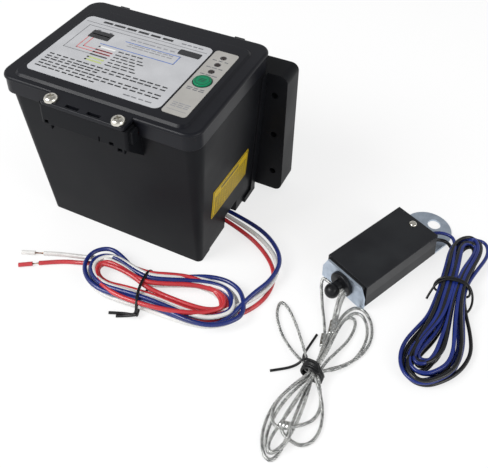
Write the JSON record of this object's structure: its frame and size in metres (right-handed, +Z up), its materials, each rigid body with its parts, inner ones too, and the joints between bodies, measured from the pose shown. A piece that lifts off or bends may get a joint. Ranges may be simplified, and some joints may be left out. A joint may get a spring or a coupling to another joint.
{
  "type": "trailer breakaway brake control kit",
  "caption": "Trailer breakaway brake control kit: lidded battery box with charge tester and wire harness, and a pull-pin switch on a coiled lanyard with coiled leads.",
  "frame": {"origin": "on the ground plane at the centre of the case's base", "axes": "+Z up, +X to the case's right, where the wires leave, -Y to the screw flange, +Y to the mounting flange"},
  "size_m": [0.3525, 0.2347, 0.1393],
  "materials": {
    "case_black": "satin moulded",
    "lid_black": "satin moulded",
    "label_silver": "printed film",
    "label_grey": "printed film",
    "label_yellow": "printed film",
    "button_green": "gloss",
    "lens_dark": "gloss, smoked",
    "screw_nickel": "nickel plated",
    "steel_pin": "plain",
    "gasket_foam": "closed-cell foam",
    "grommet_rubber": "matte",
    "battery_case": "satin moulded",
    "terminal_tin": "tin plated",
    "foam_grey": "open-cell foam",
    "boot_clear_red": "gloss",
    "board_green": "solder mask",
    "carrier_black": "matte",
    "led_epoxy": "diffused",
    "switch_body_black": "matte",
    "capacitor_sleeve": "shrink sleeve",
    "regulator_black": "moulded",
    "header_white": "moulded",
    "fuse_glass": "clear",
    "wire_red": "gloss PVC",
    "wire_white": "gloss PVC",
    "wire_blue": "gloss PVC",
    "wire_black": "gloss PVC",
    "lead_blue": "gloss PVC",
    "copper_strand": "bare strands",
    "tie_black": "coated tie wire",
    "harness_coil": "gloss PVC, red, white and blue",
    "lead_coil": "gloss PVC, blue and black",
    "lanyard_vinyl": "steel strand in clear vinyl",
    "bracket_zinc": "zinc plated",
    "cover_black": "satin black coat",
    "insulator_block": "matte",
    "pin_black": "moulded nylon",
    "contact_brass": "plain",
    "boot_rubber": "matte"
  },
  "bodies": {
    "case": {"case_shell": "case_black", "mounting_flange": "case_black", "screw_block": "case_black", "bay_divider": "case_black", "wire_pocket": "case_black", "lid_gasket": "gasket_foam", "hinge_pins": "steel_pin", "wire_grommet": "grommet_rubber", "side_label": "label_yellow", "battery": "battery_case", "battery_terminals": "terminal_tin", "battery_pad": "foam_grey", "battery_foam": "foam_grey", "spade_connectors": "boot_clear_red", "pcb_carrier": "carrier_black", "tester_pcb": "board_green", "pcb_screws": "screw_nickel", "status_leds": "led_epoxy", "tact_switch": "switch_body_black", "charge_capacitors": "capacitor_sleeve", "charge_regulator": "regulator_black", "power_header": "header_white", "glass_fuse": "fuse_glass", "battery_lead_red": "wire_red", "battery_lead_black": "wire_black", "inner_lead_red": "wire_red", "inner_lead_white": "wire_white", "inner_lead_blue": "wire_blue", "harness_red": "wire_red", "harness_white": "wire_white", "harness_blue": "wire_blue", "harness_hank": "harness_coil", "harness_tie": "tie_black", "tail_red": "wire_red", "tail_white": "wire_white", "tail_strands": "copper_strand", "tail_slugs": "wire_white"},
    "lid": {"lid_shell": "lid_black", "lid_screws": "screw_nickel", "main_label": "label_silver", "tester_label": "label_grey", "led_lenses": "lens_dark"},
    "test_button": {"test_button": "button_green"},
    "switch": {"switch_bracket": "bracket_zinc", "switch_cover": "cover_black", "cover_rivet": "screw_nickel", "switch_body": "insulator_block", "contact_springs": "steel_pin", "lead_boot": "boot_rubber", "lead_blue": "lead_blue", "lead_black": "wire_black", "lead_hank": "lead_coil", "lead_tie": "tie_black"},
    "pin": {"pull_pin": "pin_black", "lanyard_leg_left": "lanyard_vinyl", "lanyard_leg_right": "lanyard_vinyl", "lanyard_hank": "lanyard_vinyl", "lanyard_tie": "tie_black"},
    "contact_left": {"contact_left": "contact_brass"},
    "contact_right": {"contact_right": "contact_brass"}
  },
  "joints": [
    {"name": "lid_hinge", "type": "hinge", "parent": "case", "child": "lid", "pos_m": [0, 0.0495, 0.1279], "axis": [-1, 0, 0], "range_deg": [0, 90]},
    {"name": "test_press", "type": "slide", "parent": "lid", "child": "test_button", "axis": [0, 0, -1], "range_m": [0, 0.001], "stiffness_N_per_m": 800, "springref_m": -0.0004},
    {"name": "switch_lift", "type": "slide", "parent": "case", "child": "switch", "axis": [0, 0, 1], "range_m": [0, 0.12]},
    {"name": "pin_pull", "type": "slide", "parent": "switch", "child": "pin", "axis": [-0.4226, -0.9063, 0], "range_m": [0, 0.028]},
    {"name": "contact_left_slide", "type": "slide", "parent": "switch", "child": "contact_left", "axis": [0.9063, -0.4226, 0], "range_m": [0, 0.0046]},
    {"name": "contact_right_slide", "type": "slide", "parent": "switch", "child": "contact_right", "axis": [-0.9063, 0.4226, 0], "range_m": [0, 0.0046]}
  ],
  "couplings": [
    {"joint": "contact_left_slide", "follows": "pin_pull", "ratio": 0.15833},
    {"joint": "contact_right_slide", "follows": "pin_pull", "ratio": 0.15833}
  ]
}
